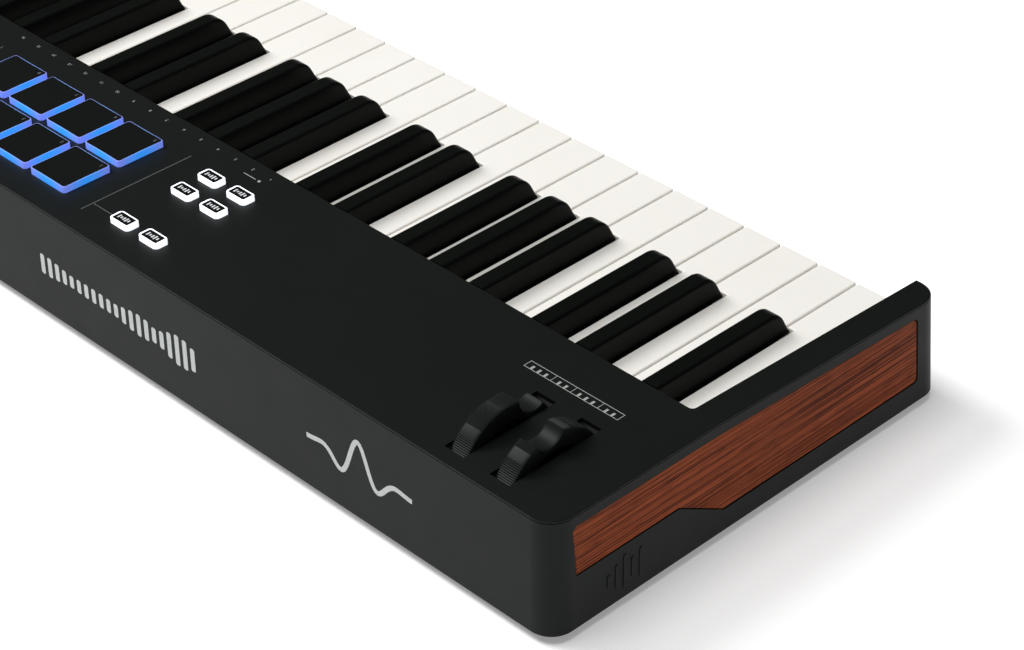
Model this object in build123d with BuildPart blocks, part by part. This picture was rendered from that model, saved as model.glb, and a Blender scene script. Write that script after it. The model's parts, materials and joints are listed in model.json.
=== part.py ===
from build123d import *
import os
from math import cos, radians, sin, tan

os.makedirs("parts", exist_ok=True)

# Full-size 88-key digital keyboard instrument, bass end at -X, player at -Y.
# Origin: middle of the footprint, on the surface that the feet stand on.

# ---- driving dimensions (mm) ----
KEY_PITCH = 23.5
WHITE_COUNT = 52
CHEEK = 15.0                    # thickness of the arm at each end of the keys
WIDTH = WHITE_COUNT * KEY_PITCH + 2 * CHEEK
DEPTH = 264.0
FOOT = 4.0
BODY_H = 63.5
PLATE = 2.2                     # top panel
RIM = 0.8                       # edge of the top panel where it lies on the walls
WALL = 3.0
END_WALL = 5.0
CORNER = 12.5
PANEL_DEPTH = 102.3             # from the fallboard to the rear wall
KEY_LENGTH = 141.0              # visible length of a white key
ARM_SLOPE = 2.3                 # degrees, arms fall towards the player
FRONT_LEAN = 6.4                # degrees, arm fronts lean back

# ---- levels and lines worked out from them ----
LEFT = -WIDTH / 2
RIGHT = WIDTH / 2
REAR = DEPTH / 2
FRONT = -DEPTH / 2
PANEL_TOP = FOOT + BODY_H
PANEL_LOW = PANEL_TOP - PLATE
FLOOR_TOP = FOOT + WALL
FALLBOARD = REAR - PANEL_DEPTH
KEY_FRONT = FALLBOARD - KEY_LENGTH
KEY_TOP = PANEL_TOP - 12.0
BAY_HALF = WIDTH / 2 - CHEEK    # half the width of the key bay
RAIL_TOP = KEY_TOP - 19.0       # front rail in front of the keys
RAIL_BACK = KEY_FRONT - 1.6

# ---- keys ----
KEY_GAP = 0.8
WHITE_HEAD = 50.7               # length of a white key's wide part
WHITE_HEAD_H = 18.0
TAIL_H = 12.0
SHARP_H = 11.7
SHARP_FRONT = 51.7
SHARP_RISE = (2.9, 6.0)          # run and height of the straight slope at the front
SHARP_ROUND = 12.0              # where the rounded front reaches the crest
SHARP_BASE = 11.6
SHARP_CREST = 9.6
SHARP_SLOT = 7.6                # half of the notch a black key stands in
KEY_SKIN = 2.0
TAIL_END = 158.0
PIVOT_BACK = 168.0              # pivot line behind the key fronts
PIVOT_Y = KEY_FRONT + PIVOT_BACK
PIVOT_Z = KEY_TOP - 9.5
ROD_R = 3.0
RUNNING = 0.05
KNUCKLE_R = 6.0
KNUCKLE_W = 8.0

# ---- wheels ----
WHEEL_R = 29.3
WHEEL_W = 10.8
WHEEL_Y = KEY_FRONT + 207.0
WHEEL_Z = PANEL_TOP - 16.8
WHEEL_SLOT = (12.0, 56.0)
MOD_X = LEFT + 67.1
PITCH_X = LEFT + 39.3
MOD_DIP = -29.0                 # degrees from the top, minus is towards the player
PITCH_DIP = 5.0
DIP_R = 9.3
DIP_REACH = 32.5
STUB_R = 3.0
STUB_REACH = 8.4

# ---- controls on the panel ----
PAD = (27.8, 28.8)
PAD_RISE = 3.2
PAD_PITCH = (32.0, 33.7)
PAD_X = LEFT + 366.5
PAD_Y = KEY_FRONT + 178.4
BUTTON = (14.0, 8.2)
BUTTON_RISE = 2.5
BUTTON_PITCH = 22.0
BUTTON_X = LEFT + 288.4
ROW_FRONT = KEY_FRONT + 168.2
ROW_MIDDLE = KEY_FRONT + 185.1
ROW_REAR = KEY_FRONT + 222.3
SCREEN_X = LEFT + 545.0
SCREEN_Y = KEY_FRONT + 205.0
SCREEN = (64.0, 42.0)
LENS = 1.4
ENCODER_X = LEFT + 608.0
ENCODER_Y = SCREEN_Y
ENCODER_R = 12.0
TRANSPORT_X = LEFT + 660.0
KNOB_COUNT = 9
KNOB_X = LEFT + 775.0
KNOB_PITCH = 29.0
KNOB_Y = KEY_FRONT + 219.0
KNOB_R = 7.5
KNOB_RISE = 15.0
SHAFT_R = 3.0
FADER_Y = KEY_FRONT + 180.0
FADER_TRAVEL = 30.0
FADER_CAP = (7.0, 12.0, 9.0)
LEVER = (1.2, 4.0)
CAP_DROP = 8.7                  # how far pads and buttons reach below the panel's top
BOARD_TOP = PANEL_TOP - 10.0
BOARD_T = 1.6
CONTROL_GAP = 0.5

# ---- casework details ----
SEAM = 0.5                      # shadow gap under the rim of the top panel
SEAM_DEPTH = 0.7
INLAY_RECESS = 2.4
INLAY_T = 2.0
INLAY_GAP = 0.35
POST_R = 3.2
POST_Y = KEY_FRONT + 233.5
POST_X = [LEFT + d for d in (110.0, 260.0, 497.0, 745.0, 1035.0, 1150.0)]
SCREW_R = 1.5
HEAD_R = 2.8
HEAD_H = 1.8
BED_SCREW_X = [-560.0, -336.0, -112.0, 112.0, 336.0, 560.0]
BED_SCREW_Y = KEY_FRONT + 40.0
FOOT_R = 8.0
FEET = [(x, y) for x in (-560.0, 0.0, 560.0) for y in (KEY_FRONT + 8.0, KEY_FRONT + 214.0)]

# ---- rear sockets, centres along X ----
SOCKET_Z = FOOT + 28.0
USB_X = LEFT + 770.0
DIN_X = LEFT + 812.0
JACK_X = [LEFT + d for d in (846.0, 868.0, 890.0)]
JACK_R = 3.2
DIN_R = 7.4
MAIN_BOARD_TOP = SOCKET_Z - 9.5

# Octave layout, starting on C: white widths and black offsets from the joint they straddle.
SHARP_OFFSET = {"c_sharp": -2.35, "d_sharp": 2.35, "f_sharp": -3.36, "g_sharp": 0.0, "a_sharp": 3.36}
WHITE_NOTES = ["c", "d", "e", "f", "g", "a", "b"]
SHARP_AFTER = {"c": "c_sharp", "d": "d_sharp", "f": "f_sharp", "g": "g_sharp", "a": "a_sharp"}
SHARP_BEFORE = {"d": "c_sharp", "e": "d_sharp", "g": "f_sharp", "a": "g_sharp", "b": "a_sharp"}


def save(node, name):
    """Label a finished sub-part and write it."""
    node.part.label = name
    export_step(node.part, f"parts/{name}.step")


def arm_top(y):
    """Height of the body's upper face at depth y."""
    return PANEL_TOP - max(0.0, FALLBOARD - y) * tan(radians(ARM_SLOPE))


def lean_at(z):
    """Depth of the leaning front face at height z."""
    return FRONT + (z - FOOT) * tan(radians(FRONT_LEAN))


def side_outline(low, drop):
    """Side view of the body between the height low and its upper face lowered by drop."""
    front_z = arm_top(lean_at(arm_top(FRONT + 6.0))) - drop
    return [
        (lean_at(low), low),
        (REAR, low),
        (REAR, PANEL_TOP - drop),
        (FALLBOARD, PANEL_TOP - drop),
        (lean_at(front_z), front_z),
    ]


def top_band(drop, thickness):
    """Side view of a band that follows the upper face."""
    front_z = arm_top(lean_at(arm_top(FRONT + 6.0))) - drop
    return [
        (REAR, PANEL_TOP - drop),
        (FALLBOARD, PANEL_TOP - drop),
        (lean_at(front_z), front_z),
        (lean_at(front_z - thickness), front_z - thickness),
        (FALLBOARD, PANEL_TOP - drop - thickness),
        (REAR, PANEL_TOP - drop - thickness),
    ]


def outer_corners(node):
    """Upright edges at the four outer corners of the body."""
    return node.edges().filter_by(
        lambda e: abs(e.center().X) > RIGHT - 0.01
        and (abs(e.center().Y - REAR) < 0.01 or e.center().Y < FRONT + 9.0)
        and abs(e.tangent_at(0.5).Z) > 0.9
    )


def rim_edges(node):
    """Upper rim of the top panel, without the crease between panel and arms."""
    return node.edges().filter_by(
        lambda e: abs(e.center().Z - arm_top(e.center().Y)) < 0.15
        and not (abs(e.center().Y - FALLBOARD) < 0.01 and abs(e.center().X) < 1.0)
    )


def block(x0, x1, y0, y1, z0, z1, mode=Mode.ADD):
    """Box between two corners, inside the current part."""
    with BuildSketch(Plane.XY.offset(z0)) as footprint:
        with Locations(((x0 + x1) / 2, (y0 + y1) / 2)):
            Rectangle(x1 - x0, y1 - y0)
    extrude(footprint.sketch, amount=z1 - z0, mode=mode)


# ---- wooden end inlays ----
INLAY_TOP = PANEL_TOP - 6.9
INLAY_STEP_Z = FOOT + 30.1
INLAY_LOW_Z = FOOT + 13.1
INLAY_REAR = KEY_FRONT + 229.0
INLAY_FRONT = KEY_FRONT + 1.0
INLAY_LEAN = tan(radians(5.5))
CUT = 2.0


def inlay_outline(grow):
    """Side view of the inlay, or of its recess when grow is more than zero."""
    slope = tan(radians(ARM_SLOPE))
    top = INLAY_TOP + grow
    low = INLAY_LOW_Z - grow
    step = INLAY_STEP_Z - grow
    front_low = INLAY_FRONT - 1.8 - grow
    front_top_z = top - (FALLBOARD - INLAY_FRONT) * slope
    front_top = front_low + (front_top_z - low) * INLAY_LEAN
    rear_low = INLAY_REAR - 1.2 + grow
    rear_top = rear_low + (top - step) * INLAY_LEAN
    return [
        (front_low + CUT, low),
        (KEY_FRONT + 134.7, low),
        (KEY_FRONT + 164.2, step),
        (rear_low, step),
        (rear_top, top - CUT),
        (rear_top - CUT, top),
        (FALLBOARD, top),
        (front_top + CUT, front_top_z),
        (front_top, front_top_z - CUT),
        (front_low, low + CUT),
    ]


for inlay_name, face_x, inward in (("left_wood_inlay", LEFT, 1), ("right_wood_inlay", RIGHT, -1)):
    with BuildPart() as wood_inlay:
        with BuildSketch(Plane.YZ.offset(face_x + inward * INLAY_RECESS)):
            Polygon(*inlay_outline(0.0), align=None)
        extrude(amount=-inward * INLAY_T)
        chamfer(wood_inlay.faces().sort_by(Axis.X)[0 if inward > 0 else -1].edges(), length=0.25)
    save(wood_inlay, inlay_name)

# ---- shadow gap under the top panel, a ring taken off the case ----
with BuildPart() as seam_ring:
    with BuildSketch(Plane.YZ):
        Polygon(*top_band(RIM, SEAM), align=None)
    extrude(amount=WIDTH / 2 + 1.0, both=True)
    with BuildSketch(Plane.XY):
        with Locations((0, (REAR + lean_at(PANEL_LOW - 6.0)) / 2)):
            RectangleRounded(
                WIDTH - 2 * SEAM_DEPTH,
                REAR - lean_at(PANEL_LOW - 6.0) - 2 * SEAM_DEPTH,
                CORNER - SEAM_DEPTH,
            )
    extrude(amount=PANEL_TOP, mode=Mode.SUBTRACT)

# ---- bottom case: floor, rear wall, end walls with hollow arms, front rail ----
with BuildPart() as bottom_case:
    with BuildSketch(Plane.YZ):
        Polygon(*side_outline(FOOT, RIM), align=None)
    extrude(amount=WIDTH / 2, both=True)
    fillet(outer_corners(bottom_case), radius=CORNER)
    chamfer(bottom_case.faces().sort_by(Axis.Z)[0].edges(), length=0.8)
    add(seam_ring.part, mode=Mode.SUBTRACT)
    block(-BAY_HALF, BAY_HALF, FRONT - 1, FALLBOARD + 20, RAIL_TOP, PANEL_TOP, Mode.SUBTRACT)
    block(-BAY_HALF, BAY_HALF, RAIL_BACK, FALLBOARD + 20, FLOOR_TOP, PANEL_TOP, Mode.SUBTRACT)
    block(LEFT + END_WALL, RIGHT - END_WALL, FALLBOARD + 4, REAR - WALL, FLOOR_TOP, PANEL_TOP, Mode.SUBTRACT)
    for side in (-1, 1):
        inner, outer = sorted((side * (BAY_HALF + WALL), side * (RIGHT - END_WALL)))
        block(inner, outer, FRONT + 22, FALLBOARD, FLOOR_TOP, PANEL_TOP, Mode.SUBTRACT)
        with BuildSketch(Plane.YZ.offset(side * RIGHT)):
            Polygon(*inlay_outline(INLAY_GAP), align=None)
        extrude(amount=-side * INLAY_RECESS, mode=Mode.SUBTRACT)
    for x, y in [(x, POST_Y) for x in POST_X] + [(x, BED_SCREW_Y) for x in BED_SCREW_X]:
        with Locations(Location((x, y, FOOT), (180, 0, 0))):
            CounterBoreHole(SCREW_R + RUNNING, HEAD_R + 0.3, HEAD_H + 0.2, depth=WALL)
    with BuildSketch(Plane.XZ.offset(-REAR)):
        with Locations((USB_X, SOCKET_Z)):
            RectangleRounded(10.4, 5.0, 2.2)
        with Locations((DIN_X, SOCKET_Z)):
            Circle(DIN_R + 1.9)
        with Locations(*[(x, SOCKET_Z) for x in JACK_X]):
            Circle(JACK_R + 1.9)
    extrude(amount=WALL + 0.5, mode=Mode.SUBTRACT)
    with BuildSketch(Plane.XY.offset(FLOOR_TOP)):
        with Locations(*[(x, y) for x in (USB_X - 12, JACK_X[-1] + 12) for y in (REAR - 46, REAR - 12)]):
            Circle(3.0)
    extrude(amount=MAIN_BOARD_TOP - BOARD_T - FLOOR_TOP)
save(bottom_case, "bottom_case")


def pad_centres():
    """Pads 1 to 4 along the rear row, 5 to 8 along the front row."""
    rows = (PAD_Y + PAD_PITCH[1], PAD_Y)
    return [(PAD_X + PAD_PITCH[0] * column, row) for row in rows for column in range(4)]


SCREEN_BUTTONS = [(SCREEN_X + (i - 1.5) * 17.0, ROW_FRONT) for i in range(4)]
SCREEN_BUTTONS += [(ENCODER_X - 11.0, ROW_FRONT), (ENCODER_X + 11.0, ROW_FRONT)]
TRANSPORT = [(TRANSPORT_X + BUTTON_PITCH * i, row) for row in (ROW_FRONT, ROW_MIDDLE) for i in range(4)]
COMMANDS = {
    "command_button_1": (BUTTON_X + BUTTON_PITCH, ROW_FRONT),
    "command_button_2": (BUTTON_X, ROW_FRONT),
    "command_button_3": (BUTTON_X + BUTTON_PITCH, ROW_MIDDLE),
    "command_button_4": (BUTTON_X, ROW_MIDDLE),
    "part_button": (BUTTON_X + BUTTON_PITCH, ROW_REAR),
    "bank_button": (BUTTON_X, ROW_REAR),
}
KNOBS = [(KNOB_X + KNOB_PITCH * i, KNOB_Y) for i in range(KNOB_COUNT)]
FADERS = [(KNOB_X + KNOB_PITCH * i, FADER_Y) for i in range(KNOB_COUNT)]

# ---- top panel: control panel and the two sloping arm covers in one piece ----
with BuildPart() as top_panel:
    with BuildSketch(Plane.YZ):
        Polygon(*top_band(0.0, PLATE), align=None)
    extrude(amount=WIDTH / 2, both=True)
    fillet(outer_corners(top_panel), radius=CORNER)
    chamfer(rim_edges(top_panel), length=0.3)
    block(-BAY_HALF, BAY_HALF, FRONT - 1, FALLBOARD, KEY_TOP, PANEL_TOP + 1, Mode.SUBTRACT)
    bay_corners = top_panel.edges().filter_by(
        lambda e: abs(abs(e.center().X) - BAY_HALF) < 0.01
        and abs(e.center().Y - FALLBOARD) < 0.01
        and abs(e.tangent_at(0.5).Z) > 0.9
    )
    fillet(bay_corners, radius=2.5)
    add(bottom_case.part, mode=Mode.SUBTRACT)
    add(seam_ring.part, mode=Mode.SUBTRACT)
    block(-BAY_HALF + 3, BAY_HALF - 3, FALLBOARD, FALLBOARD + PLATE, KEY_TOP + 1.5, PANEL_LOW)
    with BuildSketch(Plane.XY.offset(PANEL_LOW)):
        with Locations(*pad_centres()):
            RectangleRounded(PAD[0] + 2 * CONTROL_GAP, PAD[1] + 2 * CONTROL_GAP, 2.0)
        with Locations(*COMMANDS.values(), *SCREEN_BUTTONS, *TRANSPORT):
            RectangleRounded(BUTTON[0] + 2 * CONTROL_GAP, BUTTON[1] + 2 * CONTROL_GAP, 2.4)
        with Locations((MOD_X, WHEEL_Y), (PITCH_X, WHEEL_Y)):
            Rectangle(*WHEEL_SLOT)
        with Locations(*KNOBS, (ENCODER_X, ENCODER_Y)):
            Circle(SHAFT_R + 0.6)
        with Locations(*FADERS):
            SlotOverall(FADER_TRAVEL + LEVER[1] + 2.0, 2.4, rotation=90)
        with Locations((SCREEN_X, SCREEN_Y)):
            Rectangle(SCREEN[0] - 4, SCREEN[1] - 4)
    extrude(amount=PLATE, mode=Mode.SUBTRACT)
    with BuildSketch(Plane.XY.offset(PANEL_TOP)):
        with Locations((SCREEN_X, SCREEN_Y)):
            RectangleRounded(SCREEN[0] + 0.4, SCREEN[1] + 0.4, 2.0)
    extrude(amount=-LENS - 0.1, mode=Mode.SUBTRACT)
    with BuildSketch(Plane.XY.offset(PANEL_LOW)):
        with Locations(*[(x, POST_Y) for x in POST_X]):
            Circle(POST_R)
            Circle(SCREW_R + RUNNING, mode=Mode.SUBTRACT)
    extrude(amount=FLOOR_TOP - PANEL_LOW)
save(top_panel, "top_panel")

with BuildPart() as display_window:
    with BuildSketch(Plane.XY.offset(PANEL_TOP - LENS - 0.1)):
        with Locations((SCREEN_X, SCREEN_Y)):
            RectangleRounded(SCREEN[0], SCREEN[1], 1.8)
    extrude(amount=LENS)
    chamfer(display_window.faces().sort_by(Axis.Z)[-1].edges(), length=0.3)
save(display_window, "display_window")


# ---- keys ----
def white_joint(index):
    """Line between white key index - 1 and white key index."""
    return -BAY_HALF + KEY_PITCH * index


def white_key_notch(side, note):
    """Distance from the key's middle to the notch wall on one side, or to its plain edge."""
    neighbour = (SHARP_BEFORE if side < 0 else SHARP_AFTER).get(note)
    if neighbour is None:
        return KEY_PITCH / 2 - KEY_GAP / 2
    return KEY_PITCH / 2 + side * SHARP_OFFSET[neighbour] - SHARP_SLOT


def white_key(left_note, right_note):
    """White key about x = 0 with its front at y = 0 and its playing face at z = 0."""
    half = KEY_PITCH / 2 - KEY_GAP / 2
    left = -white_key_notch(-1, left_note)
    right = white_key_notch(1, right_note)
    middle = (left + right) / 2
    with BuildPart() as key:
        block(-half, half, 0, WHITE_HEAD, -WHITE_HEAD_H, 0)
        front_uprights = key.edges().filter_by(Axis.Z).group_by(Axis.Y)[0]
        fillet(front_uprights, radius=1.4)
        block(left, right, WHITE_HEAD - 1, TAIL_END, -TAIL_H, 0)
        fillet(key.faces().sort_by(Axis.Z)[-1].edges(), radius=0.9)
        block(-half + KEY_SKIN, half - KEY_SKIN, KEY_SKIN, WHITE_HEAD - 3, -WHITE_HEAD_H, -KEY_SKIN, Mode.SUBTRACT)
        block(left + KEY_SKIN, right - KEY_SKIN, WHITE_HEAD - 1, TAIL_END - 4, -TAIL_H, -KEY_SKIN, Mode.SUBTRACT)
        knuckle(middle)
    return key.part


def knuckle(middle):
    """Bored rear end of a key, on the pivot rod."""
    centre_z = PIVOT_Z - KEY_TOP
    with BuildSketch(Plane.YZ.offset(middle - KNUCKLE_W / 2)) as boss:
        with Locations((PIVOT_BACK, centre_z)):
            Circle(KNUCKLE_R)
        with Locations(((TAIL_END - 2 + PIVOT_BACK) / 2, centre_z)):
            Rectangle(PIVOT_BACK - TAIL_END + 2, 5.0)
    extrude(boss.sketch, amount=KNUCKLE_W)
    with BuildSketch(Plane.YZ.offset(middle - KNUCKLE_W / 2)) as bore:
        with Locations((PIVOT_BACK, centre_z)):
            Circle(ROD_R + RUNNING)
    extrude(bore.sketch, amount=KNUCKLE_W, mode=Mode.SUBTRACT)


def black_key():
    """Black key about x = 0, in the same frame as a white key."""
    crest_front = SHARP_FRONT + SHARP_ROUND
    cap_rear = KEY_LENGTH - 1.0
    with BuildPart() as key:
        with BuildSketch(Plane.YZ):
            with BuildLine():
                base = Polyline((cap_rear, SHARP_H), (cap_rear, -2), (SHARP_FRONT, -2), (SHARP_FRONT, 0))
                rise = Line((SHARP_FRONT, 0), (SHARP_FRONT + SHARP_RISE[0], SHARP_RISE[1]))
                TangentArc(rise @ 1, (crest_front, SHARP_H), tangent=rise % 1)
                Line((crest_front, SHARP_H), base @ 0)
            make_face()
        extrude(amount=SHARP_BASE / 2, both=True)
        with BuildSketch(Plane.XZ):
            Polygon(
                (-SHARP_BASE / 2, -2.0),
                (SHARP_BASE / 2, -2.0),
                (SHARP_BASE / 2, 0.0),
                (SHARP_CREST / 2, SHARP_H),
                (-SHARP_CREST / 2, SHARP_H),
                (-SHARP_BASE / 2, 0.0),
                align=None,
            )
        extrude(amount=-KEY_LENGTH - 20, mode=Mode.INTERSECT)
        long_edges = key.edges().filter_by(lambda e: e.center().Z > 4.0 and abs(e.center().X) > 3.0)
        fillet(long_edges.filter_by(lambda e: e.center().Y < cap_rear - 1), radius=1.7)
        block(-4.6, 4.6, SHARP_FRONT + 6, TAIL_END, -TAIL_H, -1.0)
        knuckle(0.0)
    return key.part


for note in WHITE_NOTES:
    first = (WHITE_NOTES.index(note) + 2) % 7      # A0 is white key 0, so C1 is white key 2
    whites = [i for i in range(WHITE_COUNT) if i % 7 == first]
    kinds = {(note, note): [i for i in whites if i not in (0, WHITE_COUNT - 1)]}
    if 0 in whites:
        kinds[("none", note)] = [0]
    if WHITE_COUNT - 1 in whites:
        kinds[(note, "none")] = [WHITE_COUNT - 1]
    with BuildPart() as note_keys:
        for (left_note, right_note), members in kinds.items():
            middles = [white_joint(i) + KEY_PITCH / 2 for i in members]
            with Locations(*[(x, KEY_FRONT, KEY_TOP) for x in middles]):
                add(white_key(left_note, right_note))
    save(note_keys, f"keys_{note}")

for note in SHARP_AFTER:
    sharp = SHARP_AFTER[note]
    first = (WHITE_NOTES.index(note) + 2) % 7
    joints = [i + 1 for i in range(WHITE_COUNT - 1) if i % 7 == first]
    with BuildPart() as note_keys:
        with Locations(*[(white_joint(i) + SHARP_OFFSET[sharp], KEY_FRONT, KEY_TOP) for i in joints]):
            add(black_key())
    save(note_keys, f"keys_{sharp}")

# ---- keybed: frame, pivot rod, return springs, contact board and rubber strip ----
BED_HALF = BAY_HALF - 0.6
BED_Z = FLOOR_TOP
SADDLES = [white_joint(i) for i in range(1, WHITE_COUNT) if i % 7 in (2, 5)]
STOP_Z = KEY_TOP - WHITE_HEAD_H - 9.2
SHELF_Z = KEY_TOP - TAIL_H - 13.0

with BuildPart() as keybed_frame:
    with BuildSketch(Plane.YZ):
        for y0, y1, z0, z1 in (
            (8, 176, BED_Z, BED_Z + 2),
            (12, 14, BED_Z + 2, STOP_Z),
            (12, 30, STOP_Z - 2, STOP_Z),
            (62, 64, BED_Z + 2, SHELF_Z),
            (116, 118, BED_Z + 2, SHELF_Z),
            (62, 118, SHELF_Z - 2, SHELF_Z),
            (174.5, 176, BED_Z + 2, PIVOT_Z - 8),
        ):
            with Locations((KEY_FRONT + (y0 + y1) / 2, (z0 + z1) / 2)):
                Rectangle(y1 - y0, z1 - z0)
    extrude(amount=BED_HALF, both=True)
    for x in SADDLES:
        block(x - 1.5, x + 1.5, KEY_FRONT + 161, KEY_FRONT + 176, BED_Z + 1, PIVOT_Z + 5)
    for side in (-1, 1):
        inner, outer = sorted((side * (BED_HALF - 1.5), side * BED_HALF))
        block(inner, outer, KEY_FRONT + 161, KEY_FRONT + 176, BED_Z, PIVOT_Z + 5)
    with BuildSketch(Plane.YZ.offset(-BED_HALF)):
        with Locations((PIVOT_Y, PIVOT_Z)):
            Circle(ROD_R + RUNNING)
    extrude(amount=2 * BED_HALF, mode=Mode.SUBTRACT)
    with Locations(*[(x, BED_SCREW_Y, BED_Z + 2) for x in BED_SCREW_X]):
        Hole(SCREW_R + RUNNING, depth=2)
save(keybed_frame, "keybed_frame")

with BuildPart() as key_pivot_rod:
    with BuildSketch(Plane.YZ.offset(-BED_HALF)):
        with Locations((PIVOT_Y, PIVOT_Z)):
            Circle(ROD_R)
    extrude(amount=2 * BED_HALF)
save(key_pivot_rod, "key_pivot_rod")


def key_lines():
    """Middle line of every key's tail, white keys and black keys."""
    lines = []
    for index in range(WHITE_COUNT):
        note = WHITE_NOTES[(index - 2) % 7]
        left = -white_key_notch(-1, "none" if index == 0 else note)
        right = white_key_notch(1, "none" if index == WHITE_COUNT - 1 else note)
        lines.append(white_joint(index) + KEY_PITCH / 2 + (left + right) / 2)
        if note in SHARP_AFTER and index < WHITE_COUNT - 1:
            lines.append(white_joint(index + 1) + SHARP_OFFSET[SHARP_AFTER[note]])
    return lines


SPRING_T = 0.5
SPRING_TIP = KEY_TOP - TAIL_H - 3.0
with BuildPart() as key_spring_strip:
    block(-BED_HALF + 3, BED_HALF - 3, KEY_FRONT + 119, KEY_FRONT + 127, BED_Z + 2, BED_Z + 2 + SPRING_T)
    for x in key_lines():
        with BuildSketch(Plane.YZ.offset(x - 2.0)):
            with BuildLine():
                leaf = Polyline(
                    (KEY_FRONT + 126.5, BED_Z + 2 + SPRING_T / 2),
                    (KEY_FRONT + 138, BED_Z + 2 + SPRING_T / 2),
                    (KEY_FRONT + 146, SPRING_TIP),
                    (KEY_FRONT + 142, SPRING_TIP),
                )
                offset(leaf, amount=SPRING_T / 2, kind=Kind.INTERSECTION)
            make_face()
        extrude(amount=4.0)
save(key_spring_strip, "key_spring_strip")

STRIP_Y = KEY_FRONT + 90.0
CONTACT_BOARD_TOP = SHELF_Z + BOARD_T
with BuildPart() as key_contact_board:
    block(-BED_HALF + 4, BED_HALF - 4, STRIP_Y - 24, STRIP_Y + 24, SHELF_Z, CONTACT_BOARD_TOP)
save(key_contact_board, "key_contact_board")

DOME_TOP = KEY_TOP - TAIL_H - 5.0
with BuildPart() as key_contact_strip:
    block(-BED_HALF + 6, BED_HALF - 6, STRIP_Y - 9, STRIP_Y + 9, CONTACT_BOARD_TOP, CONTACT_BOARD_TOP + 1.2)
    with BuildSketch(Plane.XY.offset(CONTACT_BOARD_TOP + 1.2)) as dome_feet:
        with Locations(*[(x, STRIP_Y) for x in key_lines()]):
            Circle(3.4)
    extrude(amount=DOME_TOP - CONTACT_BOARD_TOP - 1.2, taper=8)
save(key_contact_strip, "key_contact_strip")


# ---- pitch and modulation wheels, their housing and the centring spring ----
def thumb_wheel(x, dip_angle):
    """Thumb wheel on stub axles, with a finger dip at dip_angle from the top."""
    dip_y = WHEEL_Y + DIP_REACH * sin(radians(dip_angle))
    dip_z = WHEEL_Z + DIP_REACH * cos(radians(dip_angle))
    with BuildPart() as wheel:
        with BuildSketch(Plane.YZ.offset(x - WHEEL_W / 2)):
            with Locations((WHEEL_Y, WHEEL_Z)):
                Circle(WHEEL_R)
            with Locations((dip_y, dip_z)):
                Circle(DIP_R, mode=Mode.SUBTRACT)
        extrude(amount=WHEEL_W)
        for face_x, inward in ((x - WHEEL_W / 2, 1), (x + WHEEL_W / 2, -1)):
            with BuildSketch(Plane.YZ.offset(face_x)):
                with Locations((WHEEL_Y, WHEEL_Z)):
                    Circle(20.0)
                    Circle(7.0, mode=Mode.SUBTRACT)
            extrude(amount=inward * 3.0, mode=Mode.SUBTRACT)
        chamfer(wheel.edges().filter_by(lambda e: abs(e.length - 2 * 3.14159 * WHEEL_R) < 60), length=0.5)
        with BuildSketch(Plane.YZ.offset(x - STUB_REACH)):
            with Locations((WHEEL_Y, WHEEL_Z)):
                Circle(STUB_R)
        extrude(amount=2 * STUB_REACH)
    return wheel


save(thumb_wheel(MOD_X, MOD_DIP), "mod_wheel")
save(thumb_wheel(PITCH_X, PITCH_DIP), "pitch_wheel")

BAY_HALF_X = WHEEL_SLOT[0] / 2
BAY_WALL = 2.5
HOUSING_LOW = WHEEL_Z - WHEEL_R - 4.0
with BuildPart() as wheel_housing:
    for x in (MOD_X, PITCH_X):
        block(
            x - BAY_HALF_X - BAY_WALL, x + BAY_HALF_X + BAY_WALL,
            WHEEL_Y - WHEEL_SLOT[1] / 2 - BAY_WALL, WHEEL_Y + WHEEL_SLOT[1] / 2 + BAY_WALL,
            HOUSING_LOW, PANEL_LOW,
        )
    block(PITCH_X, MOD_X, WHEEL_Y - 10, WHEEL_Y + 10, HOUSING_LOW, HOUSING_LOW + 2)
    for x in (MOD_X, PITCH_X):
        block(
            x - BAY_HALF_X, x + BAY_HALF_X,
            WHEEL_Y - WHEEL_R - 0.6, WHEEL_Y + WHEEL_R + 0.6,
            HOUSING_LOW + 2, WHEEL_Z + 10, Mode.SUBTRACT,
        )
        block(
            x - BAY_HALF_X, x + BAY_HALF_X,
            WHEEL_Y - WHEEL_SLOT[1] / 2, WHEEL_Y + WHEEL_SLOT[1] / 2,
            HOUSING_LOW + 2, PANEL_LOW, Mode.SUBTRACT,
        )
    with BuildSketch(Plane.YZ.offset(PITCH_X - 12)):
        with Locations((WHEEL_Y, WHEEL_Z)):
            Circle(STUB_R + RUNNING)
    extrude(amount=MOD_X - PITCH_X + 24, mode=Mode.SUBTRACT)
save(wheel_housing, "wheel_housing")

SPRING_X = (PITCH_X + MOD_X) / 2
with BuildPart() as pitch_spring:
    with BuildSketch(Plane.YZ.offset(SPRING_X - 2.0)):
        with Locations((WHEEL_Y, WHEEL_Z - 8)):
            Circle(5.0)
            Circle(3.8, mode=Mode.SUBTRACT)
        for side in (-1, 1):
            with Locations((WHEEL_Y + side * 4.4, WHEEL_Z - 18)):
                Rectangle(1.2, 20.0)
    extrude(amount=4.0)
save(pitch_spring, "pitch_spring")


# ---- pads and buttons ----
def press_cap(centre, size, rise, corner):
    """Rectangular pad or button that stands out of the panel."""
    with BuildPart() as cap:
        with BuildSketch(Plane.XY.offset(PANEL_TOP - CAP_DROP)):
            with Locations(centre):
                RectangleRounded(size[0], size[1], corner)
        extrude(amount=CAP_DROP + rise)
        fillet(cap.faces().sort_by(Axis.Z)[-1].edges(), radius=0.5)
    return cap


for number, centre in enumerate(pad_centres(), start=1):
    save(press_cap(centre, PAD, PAD_RISE, 1.6), f"pad_{number}")

for name, centre in COMMANDS.items():
    save(press_cap(centre, BUTTON, BUTTON_RISE, 2.0), name)


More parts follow.
